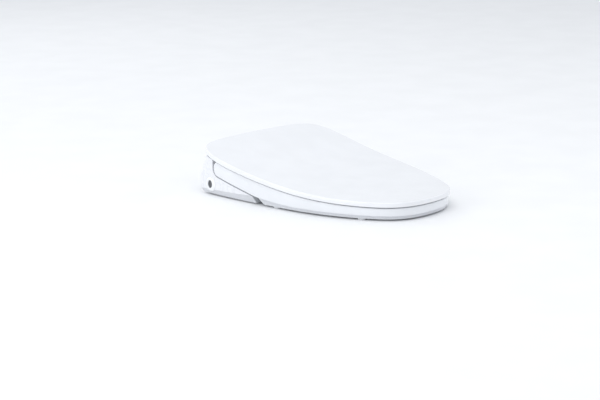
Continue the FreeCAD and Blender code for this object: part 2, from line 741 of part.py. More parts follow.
def fan_impeller():
    x, y, low = size.fan_x, size.fan_y, size.fan_bottom + 3.5
    high = size.fan_bottom + size.fan_tall - 3.5
    wheel = upright(x, y, 21, high - 1.5, high).fuse(upright(x, y, 6, low, high))
    blade = beam((x + 15, y - 0.6, low), (x + 21, y + 0.6, high)).rotated(Vector(x + 18, y, 0), UP, 25)
    for i in range(int(size.blade_count)):
        wheel = wheel.fuse(blade.rotated(Vector(x, y, 0), UP, 360 * i / size.blade_count))
    return wheel.fuse(upright(x, y, size.fan_shaft, high, high + 14))


def dryer_flap():
    """Shutter over the duct's mouth, hung from its upper edge."""
    low, high = size.duct_x - size.duct_half + 1.6, size.duct_x + size.duct_half - 1.6
    y, z = flap_axis()
    plate = wand_bar(low, high, -0.2, size.flap_thick - 0.2, -4, 4.4)
    return plate.fuse(Part.makeCylinder(1, high - low, Vector(low, y, z), Vector(1, 0, 0)))


def flap_axis():
    return along_wand(0.6, 4.6)


def tube(points, radius):
    """A bent pipe: straight runs joined by tangent arcs."""
    points = [Vector(*p) for p in points]
    edges, here = [], points[0]
    for before, corner, after in zip(points, points[1:], points[2:]):
        into, out = (corner - before).normalize(), (after - corner).normalize()
        bend = 2.2 * radius
        start, end = corner - into * bend, corner + out * bend
        centre = start + out * bend
        middle = centre + (corner - centre).normalize() * bend
        edges += [Part.LineSegment(here, start).toShape(), Part.Arc(start, middle, end).toShape()]
        here = end
    edges.append(Part.LineSegment(here, points[-1]).toShape())
    ring = Part.Wire(Part.Circle(points[0], points[1] - points[0], radius).toShape())
    return Part.Wire(edges).makePipeShell([ring], True, False)


# ---- the sub-parts ---------------------------------------------------------------------------------------

def make_base():
    top = "pad_thick + plate_thick"
    slot_end = "slot_long / 2"
    body = doc.addObject("PartDesign::Body", "base_plate")
    lower = sketch_on(body, "XY_Plane", "PlateSketch", "pad_thick")
    inside = "plate_half - lip_width"
    draw_rectangle(lower, (f"-({inside})", "plate_front"), (inside, "plate_rear"))
    pad(body, lower, "plate_thick", "PlatePad")
    lips = sketch_on(body, "XY_Plane", "LipSketch", top + " - lip_thick")
    draw_rectangle(lips, ("-plate_half", "plate_front"), ("plate_half", "plate_rear"))
    pad(body, lips, "lip_thick", "LipPad")
    slots = sketch_on(body, "XY_Plane", "SlotSketch", top)
    for middle in ("-bolt_gap / 2", "bolt_gap / 2"):
        left, right = f"{middle} - bolt_radius - 0.3", f"{middle} + bolt_radius + 0.3"
        draw_rectangle(slots, (left, "-" + slot_end), (right, slot_end))
    pocket(body, slots, "plate_thick + 1", "SlotPocket")
    node(body, "base_plate")
    rubber = block("PadSheet", ("2 * (plate_half - 12)", "plate_rear - plate_front - 4", "pad_thick"),
                   ("-(plate_half - 12)", "plate_front + 2", "0"))
    hole = ("2 * bolt_radius + 1", "slot_long", "pad_thick + 2")
    holes = [block(f"PadHole{i}", hole, (f"{sign}bolt_gap / 2 - bolt_radius - 0.5", "-" + slot_end, "-1"))
             for i, sign in enumerate("-+")]
    node(cut("base_rubber_sheet", rubber, *holes), "base_rubber_sheet")
    clamp = block("ClampBlock", ("24", "34", "2.3"), ("bolt_gap / 2 - 12", "-17", top))
    clamp_hole = rod("ClampHole", "bolt_thread", "10", ("bolt_gap / 2", "0", "0"))
    node(pair("bolt_clamps", cut("BoltClamp", clamp, clamp_hole)), "bolt_clamps")
    head = rod("BoltHead", "1.7 * bolt_radius", "1.6", ("bolt_gap / 2", "0", top + " + 2.3"))
    whole = "bolt_reach + " + top + " + 2.3"
    shank = rod("BoltShank", "bolt_thread", whole, ("bolt_gap / 2", "0", "-bolt_reach"))
    plain = rod("BoltPlain", "bolt_radius", "bolt_plain", ("bolt_gap / 2", "0", "-bolt_plain"))
    node(pair("mounting_bolts", fuse("MountingBolt", head, shank, plain)), "mounting_bolts")
    washer = cone("WasherCone", "nut_radius + 3", "nut_radius - 2", "8", ("bolt_gap / 2", "0", "nut_top"))
    washer_hole = rod("WasherHole", "bolt_thread", "20", ("bolt_gap / 2", "0", "nut_top - 5"))
    node(pair("rubber_washers", cut("RubberWasher", washer, washer_hole)), "rubber_washers")
    barrel = rod("NutBarrel", "nut_radius", "14", ("bolt_gap / 2", "0", "nut_top - 14"))
    ears_at = ("bolt_gap / 2 - nut_radius - 8", "-2.5", "nut_top - 13")
    ears = block("NutEars", ("2 * nut_radius + 16", "5", "10"), ears_at)
    nut_hole = rod("NutHole", "bolt_thread", "30", ("bolt_gap / 2", "0", "nut_top - 20"))
    node(pair("wing_nuts", cut("WingNut", fuse("NutBody", barrel, ears), nut_hole)), "wing_nuts")


def make_shells():
    feature("lid_shell", lid_shell())
    feature("lid_hinge_arms", lid_arms())
    feature("lid_bumpers", lid_bumpers())
    feature("seat_shell", seat_shell())
    feature("seat_base_plate", seat_base())
    feature("seat_heater_foil", seat_heater())
    feature("upper_cover", upper_cover())
    feature("left_wing", wing(1))
    feature("right_wing", wing(-1))
    feature("lower_case", lower_case())


def make_seat_fittings():
    reach = half_width(size.seat_axis_y, size.seat_inset) - 4 - size.damper_inner - 24
    pin = rod("SeatPin", "seat_pin", reach, ("damper_inner + 24", "seat_axis_y", "seat_axis_z"), "x")
    node(pair("seat_hinge_pins", pin), "seat_hinge_pins")
    pads = [rod(f"SeatBumper{i}", "bumper_radius", "seat_bottom - 0.2", (x, y, "0.2"))
            for i, (x, y) in enumerate(SEAT_BUMPERS)]
    node(group("seat_bumpers", *pads, *[mirrored(p) for p in pads]), "seat_bumpers")
    screws = []
    for i, (x, y) in enumerate(SEAT_SCREWS):
        head = rod(f"ScrewHead{i}", "screw_head", "1.4", (x, y, "seat_bottom + 0.1"))
        shank = rod(f"ScrewShank{i}", "screw_radius", "16", (x, y, "seat_bottom + 1"))
        screw = fuse(f"SeatScrew{i}", head, shank)
        screws += [screw, mirrored(screw)]
    node(group("seat_screws", *screws), "seat_screws")


def make_hinges():
    shaft = rod("LidShaft", "lid_pin", "lug_middle + lug_thick / 2 - damper_inner - 20",
                ("damper_inner + 20", "lid_axis_y", "lid_axis_z"), "x")
    node(pair("lid_hinge_shafts", shaft), "lid_hinge_shafts")
    for name in ("seat", "lid"):
        at = ("damper_inner", name + "_axis_y", name + "_axis_z")
        case = rod(name + "DamperCase", name + "_damper", "damper_long", at, "x")
        bore_at = ("damper_inner + 18", *at[1:])
        bore = rod(name + "DamperBore", name + "_pin + running", "damper_long", bore_at, "x")
        node(pair(name + "_dampers", cut(name + "Damper", case, bore)), name + "_dampers")


def make_wands():
    feature("wand_guide", wand_guide())
    feature("wand_motors", Part.makeCompound([wand_motor(side) for side in (-1, 1)]))
    for name, side, jets in (("rear", -1, (7, 10)), ("front", 1, (6, 9, 12, 15))):
        feature(name + "_wand", wand(side * wand_x()))
        feature(name + "_wand_tip", wand_tip(side * wand_x(), jets))
        feature(name + "_wand_pinion", pinion(side))


def make_dryer():
    feature("dryer_duct", duct())
    feature("fan_housing", fan_housing())
    feature("fan_impeller", fan_impeller())
    feature("dryer_flap", dryer_flap())
    motor = rod("FanMotorCan", "14", "16", ("fan_x", "fan_y", "fan_bottom + fan_tall"))
    bore = rod("FanMotorBore", "fan_shaft + running", "11", ("fan_x", "fan_y", "fan_bottom + fan_tall"))
    node(cut("fan_motor", motor, bore), "fan_motor")
    low, high = size.duct_x - size.duct_half + 3, size.duct_x + size.duct_half - 3
    slabs = wand_bar(low, high, 40, 56, -2.2, 3.4)
    for i in range(8):
        slabs = slabs.cut(wand_bar(low + 1.5 + 4 * i, low + 4 + 4 * i, 39, 57, -1.5, 2.8))
    feature("dryer_heater", slabs)


def make_water_parts():
    manifold_at = ("filter_x - 12", "17", "inlet_z - 10")
    manifold = block("ManifoldBlock", ("inlet_x - filter_x + 26", "17", "20"), manifold_at)
    nipple = rod("InletNipple", "inlet_radius", "inlet_long", ("inlet_x", "unit_rear + 0.5", "inlet_z"), "y")
    neck = rod("InletNeck", "8", "6", ("inlet_x", "32", "inlet_z"), "y")
    water = rod("InletWater", "5", "40", ("inlet_x", "24", "inlet_z"), "y")
    socket = rod("FilterSocket", "filter_stem + running", "20", ("filter_x", "20", "inlet_z"), "y")
    node(cut("inlet_manifold", fuse("ManifoldBody", manifold, nipple, neck), water, socket), "inlet_manifold")
    stem = rod("FilterStem", "filter_stem", "17", ("filter_x", "21", "inlet_z"), "y")
    disc = rod("FilterDisc", "7.6", "4", ("filter_x", "36.8", "inlet_z"), "y")
    grip = block("FilterGrip", ("14", "5", "3"), ("filter_x - 7", "40", "inlet_z - 1.5"))
    screen = rod("FilterHollow", "4.5", "12", ("filter_x", "20", "inlet_z"), "y")
    node(cut("filter_plug", fuse("FilterBody", stem, disc, grip), screen), "filter_plug")
    valve = block("ValveBody", ("30", "20", "16"), ("112", "-4", "15"))
    coil = rod("ValveCoil", "9", "20", ("127", "6", "31"))
    node(fuse("solenoid_valve", valve, coil), "solenoid_valve")
    tank = block("HeaterTank", ("54", "50", "30"), ("-118", "-38", "15"))
    cap = block("HeaterCap", ("58", "54", "3"), ("-120", "-40", "45"))
    node(fuse("water_heater", tank, cap), "water_heater")
    pump_body = block("PumpBody", ("26", "30", "28"), ("-58", "-18", "15"))
    pump_motor = rod("PumpMotor", "11", "18", ("-45", "-3", "43"))
    node(fuse("water_pump", pump_body, pump_motor), "water_pump")
    feature("cold_water_tube", tube([(size.filter_x - 12, 25, 20), (-80, 25, 20), (-80, 12, 20)], 3))
    feature("warm_water_tube", tube([(-96, 12, 38), (-96, 25, 38), (-45, 25, 38), (-45, 12, 38)], 2.5))


def make_electrics():
    board = doc.addObject("PartDesign::Body", "control_board")
    outline = sketch_on(board, "XY_Plane", "BoardSketch", "62")
    draw_rectangle(outline, ("-78", "-20"), ("70", "16"))
    pad(board, outline, "1.6", "BoardPad")
    chips = sketch_on(board, "XY_Plane", "ChipSketch", "63.6")
    places = [((-60, -12), (-40, 6)), ((-30, -8), (-14, 8)), ((4, -14), (30, 0)), ((40, -10), (52, 10))]
    for low, high in places:
        draw_rectangle(chips, low, high)
    pad(board, chips, "4", "ChipPad")
    node(board, "control_board")
    supply = block("power_supply", ("16", "52", "34"), ("-141", "-46", "15"))
    node(supply, "power_supply")
    flange = rod("GlandFlange", "10.5", "2.5", ("gland_x", "unit_rear + 0.1", "inlet_z"), "y")
    sleeve = cone("GlandSleeve", "7.5", "5.2", "12", ("gland_x", "unit_rear + 2.6", "inlet_z"), "y")
    thread = rod("GlandThread", "8.9", "8.4", ("gland_x", "28.5", "inlet_z"), "y")
    mouth = rod("GlandMouth", "cord_radius", "30", ("gland_x", "30", "inlet_z"), "y")
    node(cut("cord_gland", fuse("GlandBody", flange, sleeve, thread), mouth), "cord_gland")


def turned(label, name, outline, axis_at):
    """A PartDesign body turned about an axis along X. outline lists (x, radius) corners."""
    body = doc.addObject("PartDesign::Body", name)
    sketch = sketch_on(body, "XY_Plane", name + "Sketch")
    corners = [Vector(*p) for p in outline]
    for start, end in zip(corners, corners[1:] + corners[:1]):
        sketch.addGeometry(Part.LineSegment(start, end), False)
    count = len(corners)
    rules = [Sketcher.Constraint("Coincident", i, 2, (i + 1) % count, 1) for i in range(count)]
    sketch.addConstraint(rules)
    turn = body.newObject("PartDesign::Revolution", name + "Turn")
    turn.Profile = sketch
    turn.ReferenceAxis = (sketch, ["H_Axis"])
    turn.Angle = 360
    put(body, axis_at)
    return node(body, label)


def make_button():
    """The round boss on the right wing, its push button and the switch behind it."""
    face = unit_half(size.button_y, size.unit_inset)
    at = (f"{-face}", "button_y", "button_z")
    radius, gap, stem = size.button_radius, 0.3, size.boss_radius - 1.5
    proud = size.boss_proud
    turned("button_boss", "ButtonBoss", [
        (-proud, radius + gap), (-proud, size.boss_radius - 2), (-proud + 1.4, size.boss_radius - 0.4),
        (0.1, size.boss_radius), (0.1, stem), (6, stem), (6, radius + 2.3), (2, radius + 2.3),
        (2, radius + gap)], at)
    turned("side_button", "SideButton", [
        (-proud + 0.6, 0), (-proud + 0.3, radius - 2), (-proud + 0.8, radius), (2.5, radius),
        (2.5, radius + 1.6), (4, radius + 1.6), (4, 3), (7, 3), (7, 0)], at)
    switch = block("side_switch", ("8", "12", "12"), (f"{-face} + 9.6", "button_y - 6", "button_z - 6"))
    node(switch, "side_switch")


def make_trim():
    panel = block("PanelPlate", ("160", "1.6", "20"), ("-80", "unit_rear + 0.1", "15"))
    holes = [rod(f"PanelHole{i}", "1.7", "10", (x, "32", z), "y") for i, (x, z) in enumerate(PANEL_SCREWS)]
    node(cut("rear_panel", panel, *holes), "rear_panel")
    screws = []
    for i, (x, z) in enumerate(PANEL_SCREWS):
        head = rod(f"PanelScrewHead{i}", "3.2", "1.6", (x, "unit_rear + 1.7", z), "y")
        shank = rod(f"PanelScrewShank{i}", "1.6", "7", (x, "unit_rear - 5", z), "y")
        screws.append(fuse(f"PanelScrew{i}", head, shank))
    node(group("panel_screws", *screws), "panel_screws")
    feet = [rod(f"CaseFoot{i}", "8", "unit_bottom - 0.1", (x, y, "0"))
            for i, (x, y) in enumerate(((150, -95), (150, 8)))]
    node(group("case_feet", *feet, *[mirrored(foot) for foot in feet]), "case_feet")


def export():
    """Recomputes, checks every object and writes one file for each sub-part."""
    doc.recompute()
    for obj in doc.Objects:
        if "Invalid" in obj.State or "Error" in obj.State:
            raise RuntimeError(f"{obj.Name} didn't recompute: {obj.State}")
    os.makedirs("parts", exist_ok=True)
    for obj in nodes:
        if obj.Shape.isNull() or not obj.Shape.isValid() or not obj.Shape.Solids:
            raise RuntimeError(f"{obj.Label} has no valid solid")
        obj.Shape.exportStep(f"parts/{obj.Label}.step")
    print(len(nodes), "sub-parts written")


make_base()
make_shells()
make_seat_fittings()
make_hinges()
make_wands()
make_dryer()
make_water_parts()
make_electrics()
make_button()
make_trim()
export()
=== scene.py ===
"""Looks of the electric bidet seat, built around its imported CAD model.

Blender works in metres, in the CAD model's own frame: X to the right, the seat's front to -Y, Z up, the rim
at Z = 0. The shapes below are worked out in millimetres and scaled when a mesh is made.
"""

import math

import bmesh
import bpy
import numpy as np
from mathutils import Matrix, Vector


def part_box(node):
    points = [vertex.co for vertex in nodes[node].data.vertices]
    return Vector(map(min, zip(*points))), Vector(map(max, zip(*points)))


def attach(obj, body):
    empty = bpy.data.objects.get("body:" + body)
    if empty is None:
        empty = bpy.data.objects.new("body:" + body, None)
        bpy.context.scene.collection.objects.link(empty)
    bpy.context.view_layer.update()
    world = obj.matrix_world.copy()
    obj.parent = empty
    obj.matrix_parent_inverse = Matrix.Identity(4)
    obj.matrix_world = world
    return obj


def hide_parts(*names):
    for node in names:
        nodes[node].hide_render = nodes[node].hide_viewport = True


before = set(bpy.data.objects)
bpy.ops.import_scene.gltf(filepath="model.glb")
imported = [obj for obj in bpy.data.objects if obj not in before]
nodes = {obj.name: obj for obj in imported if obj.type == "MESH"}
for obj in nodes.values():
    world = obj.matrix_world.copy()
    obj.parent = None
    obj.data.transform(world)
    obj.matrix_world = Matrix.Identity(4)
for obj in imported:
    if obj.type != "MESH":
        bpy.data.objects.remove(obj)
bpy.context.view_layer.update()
MM = 0.001


# ---- materials -------------------------------------------------------------------------------------------

def new_material(name):
    """A material with its shader, and the coordinates that its patterns follow."""
    material = bpy.data.materials.new(name)
    material.use_nodes = True
    tree = material.node_tree
    tree.nodes.clear()
    shader = tree.nodes.new("ShaderNodeBsdfPrincipled")
    output = tree.nodes.new("ShaderNodeOutputMaterial")
    tree.links.new(shader.outputs["BSDF"], output.inputs["Surface"])
    place = tree.nodes.new("ShaderNodeTexCoord")
    return material, tree, shader, place.outputs["Object"]


def noise(tree, place, pitch, detail=3.0, stretch=None):
    """Noise whose features are about `pitch` millimetres wide."""
    if stretch is not None:
        mapping = tree.nodes.new("ShaderNodeMapping")
        mapping.inputs["Scale"].default_value = stretch
        tree.links.new(place, mapping.inputs["Vector"])
        place = mapping.outputs["Vector"]
    made = tree.nodes.new("ShaderNodeTexNoise")
    made.inputs["Scale"].default_value = 1 / (pitch * MM)
    made.inputs["Detail"].default_value = detail
    tree.links.new(place, made.inputs["Vector"])
    return made.outputs["Fac"]


def ramp(tree, fac, low, high, start=0.35, end=0.65):
    """Two near tints, or two greys, shared out by a pattern."""
    made = tree.nodes.new("ShaderNodeValToRGB")
    made.color_ramp.elements[0].position = start
    made.color_ramp.elements[1].position = end
    made.color_ramp.elements[0].color = (*low, 1)
    made.color_ramp.elements[1].color = (*high, 1)
    tree.links.new(fac, made.inputs["Fac"])
    return made.outputs["Color"]


def grey_range(tree, fac, low, high):
    made = tree.nodes.new("ShaderNodeMapRange")
    made.inputs["To Min"].default_value = low
    made.inputs["To Max"].default_value = high
    tree.links.new(fac, made.inputs["Value"])
    return made.outputs["Result"]


def bumped(tree, shader, height, distance, strength=1.0, rounding=0.0):
    """Bump of `distance` millimetres, over edges that are softened by `rounding` millimetres."""
    bump = tree.nodes.new("ShaderNodeBump")
    bump.inputs["Distance"].default_value = distance * MM
    bump.inputs["Strength"].default_value = strength
    tree.links.new(height, bump.inputs["Height"])
    if rounding:
        bevel = tree.nodes.new("ShaderNodeBevel")
        bevel.samples = 6
        bevel.inputs["Radius"].default_value = rounding * MM
        tree.links.new(bevel.outputs["Normal"], bump.inputs["Normal"])
    tree.links.new(bump.outputs["Normal"], shader.inputs["Normal"])


def tinted(colour, change):
    return tuple(max(0.0, c * change) for c in colour)


def plastic(name, colour, rough, coat=0.0, grain=0.25, depth=0.004, rounding=0.0, change=0.97):
    """Moulded plastic: faint drift in its tint, an uneven polish and a fine moulded grain."""
    material, tree, shader, place = new_material(name)
    drift = noise(tree, place, 60, 2.0)
    tree.links.new(ramp(tree, drift, tinted(colour, change), colour), shader.inputs["Base Color"])
    polish = noise(tree, place, 9, 4.0)
    tree.links.new(grey_range(tree, polish, rough * 0.8, rough * 1.25), shader.inputs["Roughness"])
    shader.inputs["IOR"].default_value = 1.5
    shader.inputs["Coat Weight"].default_value = coat
    shader.inputs["Coat Roughness"].default_value = 0.08
    bumped(tree, shader, noise(tree, place, grain, 2.0), depth, 1.0, rounding)
    return material


def metal(name, colour, rough, stretch, rounding=0.2):
    """Turned or drawn metal: fine lines one way, with a dull bloom here and there."""
    material, tree, shader, place = new_material(name)
    bloom = noise(tree, place, 5, 3.0)
    tree.links.new(ramp(tree, bloom, tinted(colour, 0.82), colour), shader.inputs["Base Color"])
    lines = noise(tree, place, 0.5, 3.0, stretch)
    tree.links.new(grey_range(tree, lines, rough * 0.7, rough * 1.4), shader.inputs["Roughness"])
    shader.inputs["Metallic"].default_value = 1.0
    bumped(tree, shader, lines, 0.01, 0.6, rounding)
    return material


def rubber(name, colour, rounding=0.3):
    """Moulded rubber: matt, with dust in its grain and a soft sheen."""
    material, tree, shader, place = new_material(name)
    dust = noise(tree, place, 1.6, 5.0)
    tree.links.new(ramp(tree, dust, colour, tinted(colour, 1.25), 0.45, 0.8), shader.inputs["Base Color"])
    tree.links.new(grey_range(tree, dust, 0.55, 0.75), shader.inputs["Roughness"])
    shader.inputs["Sheen Weight"].default_value = 0.15
    bumped(tree, shader, noise(tree, place, 0.35, 3.0), 0.02, 1.0, rounding)
    return material


def board(name):
    """A circuit board: green lacquer with copper tracks that show through, in straight runs."""
    material, tree, shader, place = new_material(name)
    tracks = tree.nodes.new("ShaderNodeTexBrick")
    tracks.inputs["Scale"].default_value = 90
    tracks.inputs["Mortar Size"].default_value = 0.035
    tracks.inputs["Color1"].default_value = (0.012, 0.10, 0.035, 1)
    tracks.inputs["Color2"].default_value = (0.016, 0.12, 0.045, 1)
    tracks.inputs["Mortar"].default_value = (0.05, 0.26, 0.09, 1)
    tree.links.new(place, tracks.inputs["Vector"])
    tree.links.new(tracks.outputs["Color"], shader.inputs["Base Color"])
    tree.links.new(grey_range(tree, noise(tree, place, 3), 0.25, 0.4), shader.inputs["Roughness"])
    bumped(tree, shader, tracks.outputs["Fac"], 0.03, 0.8)
    return material


LID = plastic("LidWhite", (0.865, 0.875, 0.90), 0.20, coat=0.35, grain=0.5, depth=0.0015, rounding=0.4)
SHELL = plastic("ShellWhite", (0.83, 0.84, 0.87), 0.27, coat=0.15, grain=0.4, depth=0.0015)
SEAT = plastic("SeatWhite", (0.84, 0.855, 0.885), 0.22, coat=0.3, grain=0.5, depth=0.0015, rounding=0.5)
# A grey darker than the white shells, on the lower case and the plates under the seat and the unit: painted
# shade of the underside.
CASE_PAINTED_SHADE = plastic("CaseGreyPaintedShade", (0.68, 0.695, 0.725), 0.34, grain=0.4, depth=0.002)
HINGE = plastic("HingeWhite", (0.78, 0.79, 0.82), 0.30, grain=0.35, depth=0.003, rounding=0.4)
BUTTON = plastic("ButtonGrey", (0.085, 0.09, 0.10), 0.32, coat=0.3, grain=0.3, depth=0.002, change=0.9)
BOSS = plastic("BossWhite", (0.88, 0.89, 0.91), 0.24, coat=0.2, grain=0.4, depth=0.002, rounding=0.4)
INNER = plastic("InnerGrey", (0.33, 0.34, 0.355), 0.45, grain=0.3, depth=0.006, rounding=0.3)
WAND = plastic("WandWhite", (0.83, 0.84, 0.86), 0.25, grain=0.3, depth=0.002, rounding=0.2)
GEAR = plastic("GearWhite", (0.76, 0.76, 0.73), 0.40, grain=0.25, depth=0.004, rounding=0.1)
PALE_RUBBER = rubber("RubberPale", (0.62, 0.63, 0.65))
DARK_RUBBER = rubber("RubberDark", (0.045, 0.046, 0.05))
STEEL = metal("Steel", (0.62, 0.63, 0.65), 0.26, (1, 1, 9))
BRASS = metal("InletBrass", (0.70, 0.68, 0.62), 0.28, (1, 9, 1))
ALLOY = metal("HeaterAlloy", (0.66, 0.66, 0.67), 0.36, (9, 1, 1))
BOARD = board("BoardGreen")

FINISHES = {
    LID: ["lid_shell"],
    SHELL: ["upper_cover", "left_wing", "right_wing", "rear_panel", "filter_plug"],
    SEAT: ["seat_shell"],
    CASE_PAINTED_SHADE: ["lower_case", "seat_base_plate", "base_plate"],
    HINGE: ["lid_hinge_arms", "seat_hinge_pins", "seat_dampers", "lid_dampers"],
    BOSS: ["button_boss"],
    BUTTON: ["side_button"],
    INNER: ["wand_guide", "dryer_duct", "fan_housing", "fan_impeller", "water_pump", "power_supply",
            "side_switch", "cord_gland"],
    WAND: ["rear_wand", "rear_wand_tip", "front_wand", "front_wand_tip", "dryer_flap"],
    GEAR: ["rear_wand_pinion", "front_wand_pinion"],
    PALE_RUBBER: ["lid_bumpers", "seat_bumpers", "case_feet", "cold_water_tube", "warm_water_tube"],
    DARK_RUBBER: ["base_rubber_sheet", "rubber_washers"],
    STEEL: ["bolt_clamps", "mounting_bolts", "lid_hinge_shafts", "wand_motors", "fan_motor", "seat_screws",
            "panel_screws", "solenoid_valve"],
    BRASS: ["inlet_manifold", "wing_nuts"],
    ALLOY: ["seat_heater_foil", "dryer_heater", "water_heater"],
    BOARD: ["control_board"],
}


def finish_with(obj, material):
    obj.data.materials.clear()
    obj.data.materials.append(material)


for material, names in FINISHES.items():
    for name in names:
        finish_with(nodes[name], material)


# ---- shapes ----------------------------------------------------------------------------------------------

def box_mm(node):
    low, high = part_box(node)
    return low / MM, high / MM


lid_low, lid_high = box_mm("lid_shell")
FRONT, REAR, TOP = lid_low.y, lid_high.y, lid_high.z
SEAT_AXIS = sum(box_mm("seat_hinge_pins"), Vector()) / 2
# The lid: its edge seen from the side, then its band, the gap below, its wall and the length of its crown.
LID_RISE, LID_SAG, LID_SKEW = 67.5, 86, 4
BAND, GAP, WALL, LID_SPINE = 10.5, 2, 3, 330
# The seat's opening, the round lip inside it, and how far the seat stands back from the lid's outline.
HOLE_FRONT, HOLE_REAR, HOLE_HALF, HOLE_LIP, SEAT_INSET = -408, -128, 106, 9, 3.5
# The seat's arms, and the housing between them.
ARM_RADIUS, ARM_SLOPE, ARM_INSIDE, ARM_FRONT = 17, math.radians(13.5), 148.5, -124
HOUSING_FRONT = -55.5
# Well outside the seat, for the shapes that cut it.
FAR_UP, FAR_DOWN, FAR_OUT = 200, -100, 250
# Points along one half of an outline.
AROUND = 141


def edge_height(y):
    """Height of the lid's upper edge along the seat, as the CAD has it."""
    share = (y - FRONT) / (REAR - FRONT)
    middle = share * (1 - share)
    return TOP - LID_RISE * (1 - share) - LID_SAG * middle + LID_SKEW * middle * (1 - 2 * share)


def seat_top(y):
    """Height of the seat's upper edge, a gap below the lid's band."""
    return edge_height(y) - BAND - GAP


def seat_bottom(y):
    """Lower edge of the seat: level in front, then a slope that runs into the hinge arms."""
    contact = SEAT_AXIS.y + ARM_RADIUS * math.sin(ARM_SLOPE)
    touch = SEAT_AXIS.z - ARM_RADIUS * math.cos(ARM_SLOPE)
    slope = touch + (y - contact) * math.tan(ARM_SLOPE)
    start = touch + (ARM_FRONT - contact) * math.tan(ARM_SLOPE)
    places, heights = [-800, -240, -200, -160, -130, -118], [11, 11.1, 12.4, 15.4, start - 1.3, start + 1.44]
    shifts = range(-10, 11, 2)
    level = sum(np.interp(y + shift, places, heights) for shift in shifts) / len(shifts)
    return np.where(y > ARM_FRONT, slope, np.minimum(level, start))


def spline(poles, shares):
    """Points on a clamped cubic B-spline with even knots, at shares from 0 to 1 of its parameter."""
    spans = len(poles) - 3
    knots = np.concatenate([[0] * 3, np.arange(spans + 1), [spans] * 3]).astype(float)
    t = np.clip(shares, 0, 1 - 1e-9) * spans
    basis = [((knots[i] <= t) & (t < knots[i + 1])).astype(float) for i in range(len(knots) - 1)]
    for degree in (1, 2, 3):
        raised = []
        for i in range(len(basis) - 1):
            total = np.zeros_like(t)
            if knots[i + degree] > knots[i]:
                total += (t - knots[i]) / (knots[i + degree] - knots[i]) * basis[i]
            if knots[i + degree + 1] > knots[i + 1]:
                total += (knots[i + degree + 1] - t) / (knots[i + degree + 1] - knots[i + 1]) * basis[i + 1]
            raised.append(total)
        basis = raised
    return sum(weight[:, None] * np.array(pole, float) for weight, pole in zip(basis, poles))


def even_shares(poles, count):
    """Parameter shares that are evenly spaced along the curve."""
    fine = np.linspace(0, 1, 2001)
    steps = np.linalg.norm(np.diff(spline(poles, fine), axis=0), axis=1)
    length = np.concatenate([[0], np.cumsum(steps)])
    return np.interp(np.linspace(0, length[-1], count), length, fine)


LID_POLES = [(0, FRONT), (73, FRONT), (125, FRONT + 58), (183, FRONT + 198), (190, FRONT + 376),
             (200, REAR - 13), (130, REAR), (0, REAR)]


def hole_poles(grow):
    """Poles of the right half of the seat's opening, made larger all round."""
    front, rear, wide = HOLE_FRONT - grow, HOLE_REAR + grow, HOLE_HALF + grow
    middle = rear - wide * 1.12
    return [(0, front), (wide * 0.62, front), (wide, middle - wide * 0.62), (wide, middle),
            (wide, middle + wide * 0.62), (wide * 0.66, rear), (0, rear)]


LID_SHARES = even_shares(LID_POLES, AROUND)
HOLE_SHARES = even_shares(hole_poles(0), AROUND)


def both_halves(half):
    """A closed ring from its right half, which runs from the front to the back."""
    left = half[-2:0:-1] * np.array([-1, 1])
    return np.concatenate([half, left])


def outline(inset):
    """The lid's outline, moved inwards, as a ring of (x, y) points."""
    poles = [np.array(pole, float) for pole in LID_POLES]
    ends = [poles[1] * [-1, 1], *poles, poles[-2] * [-1, 1]]
    moved = []
    for before, pole, after in zip(ends, poles, ends[2:]):
        along = (after - before) / np.linalg.norm(after - before)
        moved.append(pole + np.array([-along[1], along[0]]) * inset)
    return both_halves(spline(moved, LID_SHARES))


def hole_ring(grow):
    """The opening's outline as a ring of (x, y) points."""
    return both_halves(spline(hole_poles(grow), HOLE_SHARES))


def lifted(ring, height):
    """A ring of (x, y) points at a height that follows y."""
    return np.column_stack([ring, height(ring[:, 1])])


def quarter(radius, steps=4):
    """(inwards, down) offsets round a rounded edge, from the side face to the top face."""
    turns = [math.pi / 2 * i / steps for i in range(steps + 1)]
    return [(radius * (1 - math.cos(t)), radius * (1 - math.sin(t))) for t in turns]


def mesh_object(name, build, material, smooth_angle=40):
    """An object from a bmesh in millimetres, with its faces turned outwards and its real corners sharp."""
    bmesh.ops.remove_doubles(build, verts=build.verts, dist=0.002)
    bmesh.ops.recalc_face_normals(build, faces=build.faces)
    bmesh.ops.scale(build, vec=(MM, MM, MM), verts=build.verts)
    mesh = bpy.data.meshes.new(name)
    build.to_mesh(mesh)
    build.free()
    mesh.shade_smooth()
    mesh.set_sharp_from_angle(angle=math.radians(smooth_angle))
    obj = bpy.data.objects.new(name, mesh)
    bpy.context.scene.collection.objects.link(obj)
    finish_with(obj, material)
    return obj


def loft(rings, closed=False, caps=False, build=None):
    """Quads between rings of points. closed joins the last ring to the first; caps fills the two ends."""
    build = build or bmesh.new()
    rows = [[build.verts.new(point) for point in ring] for ring in rings]
    pairs = list(zip(rows, rows[1:])) + ([(rows[-1], rows[0])] if closed else [])
    for first, second in pairs:
        for i in range(len(first)):
            j = (i + 1) % len(first)
            build.faces.new((first[i], first[j], second[j], second[i]))
    if caps:
        build.faces.new(rows[0][::-1])
        build.faces.new(rows[-1])
    return build


def stand_for(obj, body, slot, *replaced):
    """Rides a body in place of some of its CAD nodes."""
    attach(obj, body)
    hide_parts(*replaced)


# ---- lid -------------------------------------------------------------------------------------------------

